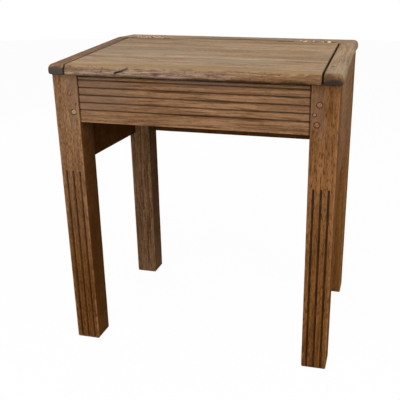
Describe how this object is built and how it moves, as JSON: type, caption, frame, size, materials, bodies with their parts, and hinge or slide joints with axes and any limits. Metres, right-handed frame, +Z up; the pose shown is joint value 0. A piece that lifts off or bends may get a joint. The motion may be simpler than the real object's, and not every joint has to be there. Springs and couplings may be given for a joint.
{
  "type": "school desk",
  "caption": "Oak school desk with a sloping lift lid hinged to a level rear board with a pen groove, a shallow book well, a grooved front rail and fluted square legs.",
  "frame": {"origin": "on the floor under the middle of the top", "axes": "+X to the right of someone sitting at the desk, +Y from the front to the back, +Z up"},
  "size_m": [0.62, 0.452, 0.6945],
  "materials": {
    "fastener_steel": "dull, browned",
    "hinge_brass": "tarnished copper-brown, rubbed bright on the barrel",
    "oak_frame": "old brown stain, worn and dull",
    "oak_inner": "unpolished, darkened with age",
    "oak_peg": "end grain, dull",
    "oak_top": "weathered, dry, stained and scratched",
    "screw_brass": "tarnished"
  },
  "bodies": {
    "frame": {"floor_board_1": "oak_inner", "floor_board_2": "oak_inner", "floor_board_3": "oak_inner", "floor_nails": "fastener_steel", "front_floor_ledger": "oak_inner", "front_ledger_screws": "fastener_steel", "front_left_leg": "oak_frame", "front_rail": "oak_frame", "front_rail_pegs": "oak_peg", "front_rail_pins": "oak_peg", "front_right_leg": "oak_frame", "left_floor_ledger": "oak_inner", "left_hinge_fixed_leaf": "hinge_brass", "left_hinge_fixed_screws": "screw_brass", "left_hinge_pin": "hinge_brass", "left_ledger_screws": "fastener_steel", "left_side_rail": "oak_frame", "left_side_rail_pegs": "oak_peg", "left_strip_dowels": "oak_peg", "left_top_strip": "oak_top", "rear_board_dowels": "oak_peg", "rear_floor_ledger": "oak_inner", "rear_ledger_screws": "fastener_steel", "rear_left_leg": "oak_frame", "rear_rail": "oak_frame", "rear_rail_pegs": "oak_peg", "rear_right_leg": "oak_frame", "rear_top_board": "oak_top", "right_floor_ledger": "oak_inner", "right_hinge_fixed_leaf": "hinge_brass", "right_hinge_fixed_screws": "screw_brass", "right_hinge_pin": "hinge_brass", "right_ledger_screws": "fastener_steel", "right_side_rail": "oak_frame", "right_side_rail_pegs": "oak_peg", "right_strip_dowels": "oak_peg", "right_top_strip": "oak_top"},
    "lid": {"left_batten_screws": "fastener_steel", "left_hinge_lid_leaf": "hinge_brass", "left_hinge_lid_screws": "screw_brass", "left_lid_batten": "oak_inner", "lid_board_1": "oak_top", "lid_board_2": "oak_top", "lid_board_3": "oak_top", "right_batten_screws": "fastener_steel", "right_hinge_lid_leaf": "hinge_brass", "right_hinge_lid_screws": "screw_brass", "right_lid_batten": "oak_inner"}
  },
  "joints": [
    {"name": "lid_hinge", "type": "hinge", "parent": "frame", "child": "lid", "pos_m": [0, 0.11925, 0.691], "axis": [-1, 0, 0], "range_deg": [0, 105]}
  ]
}
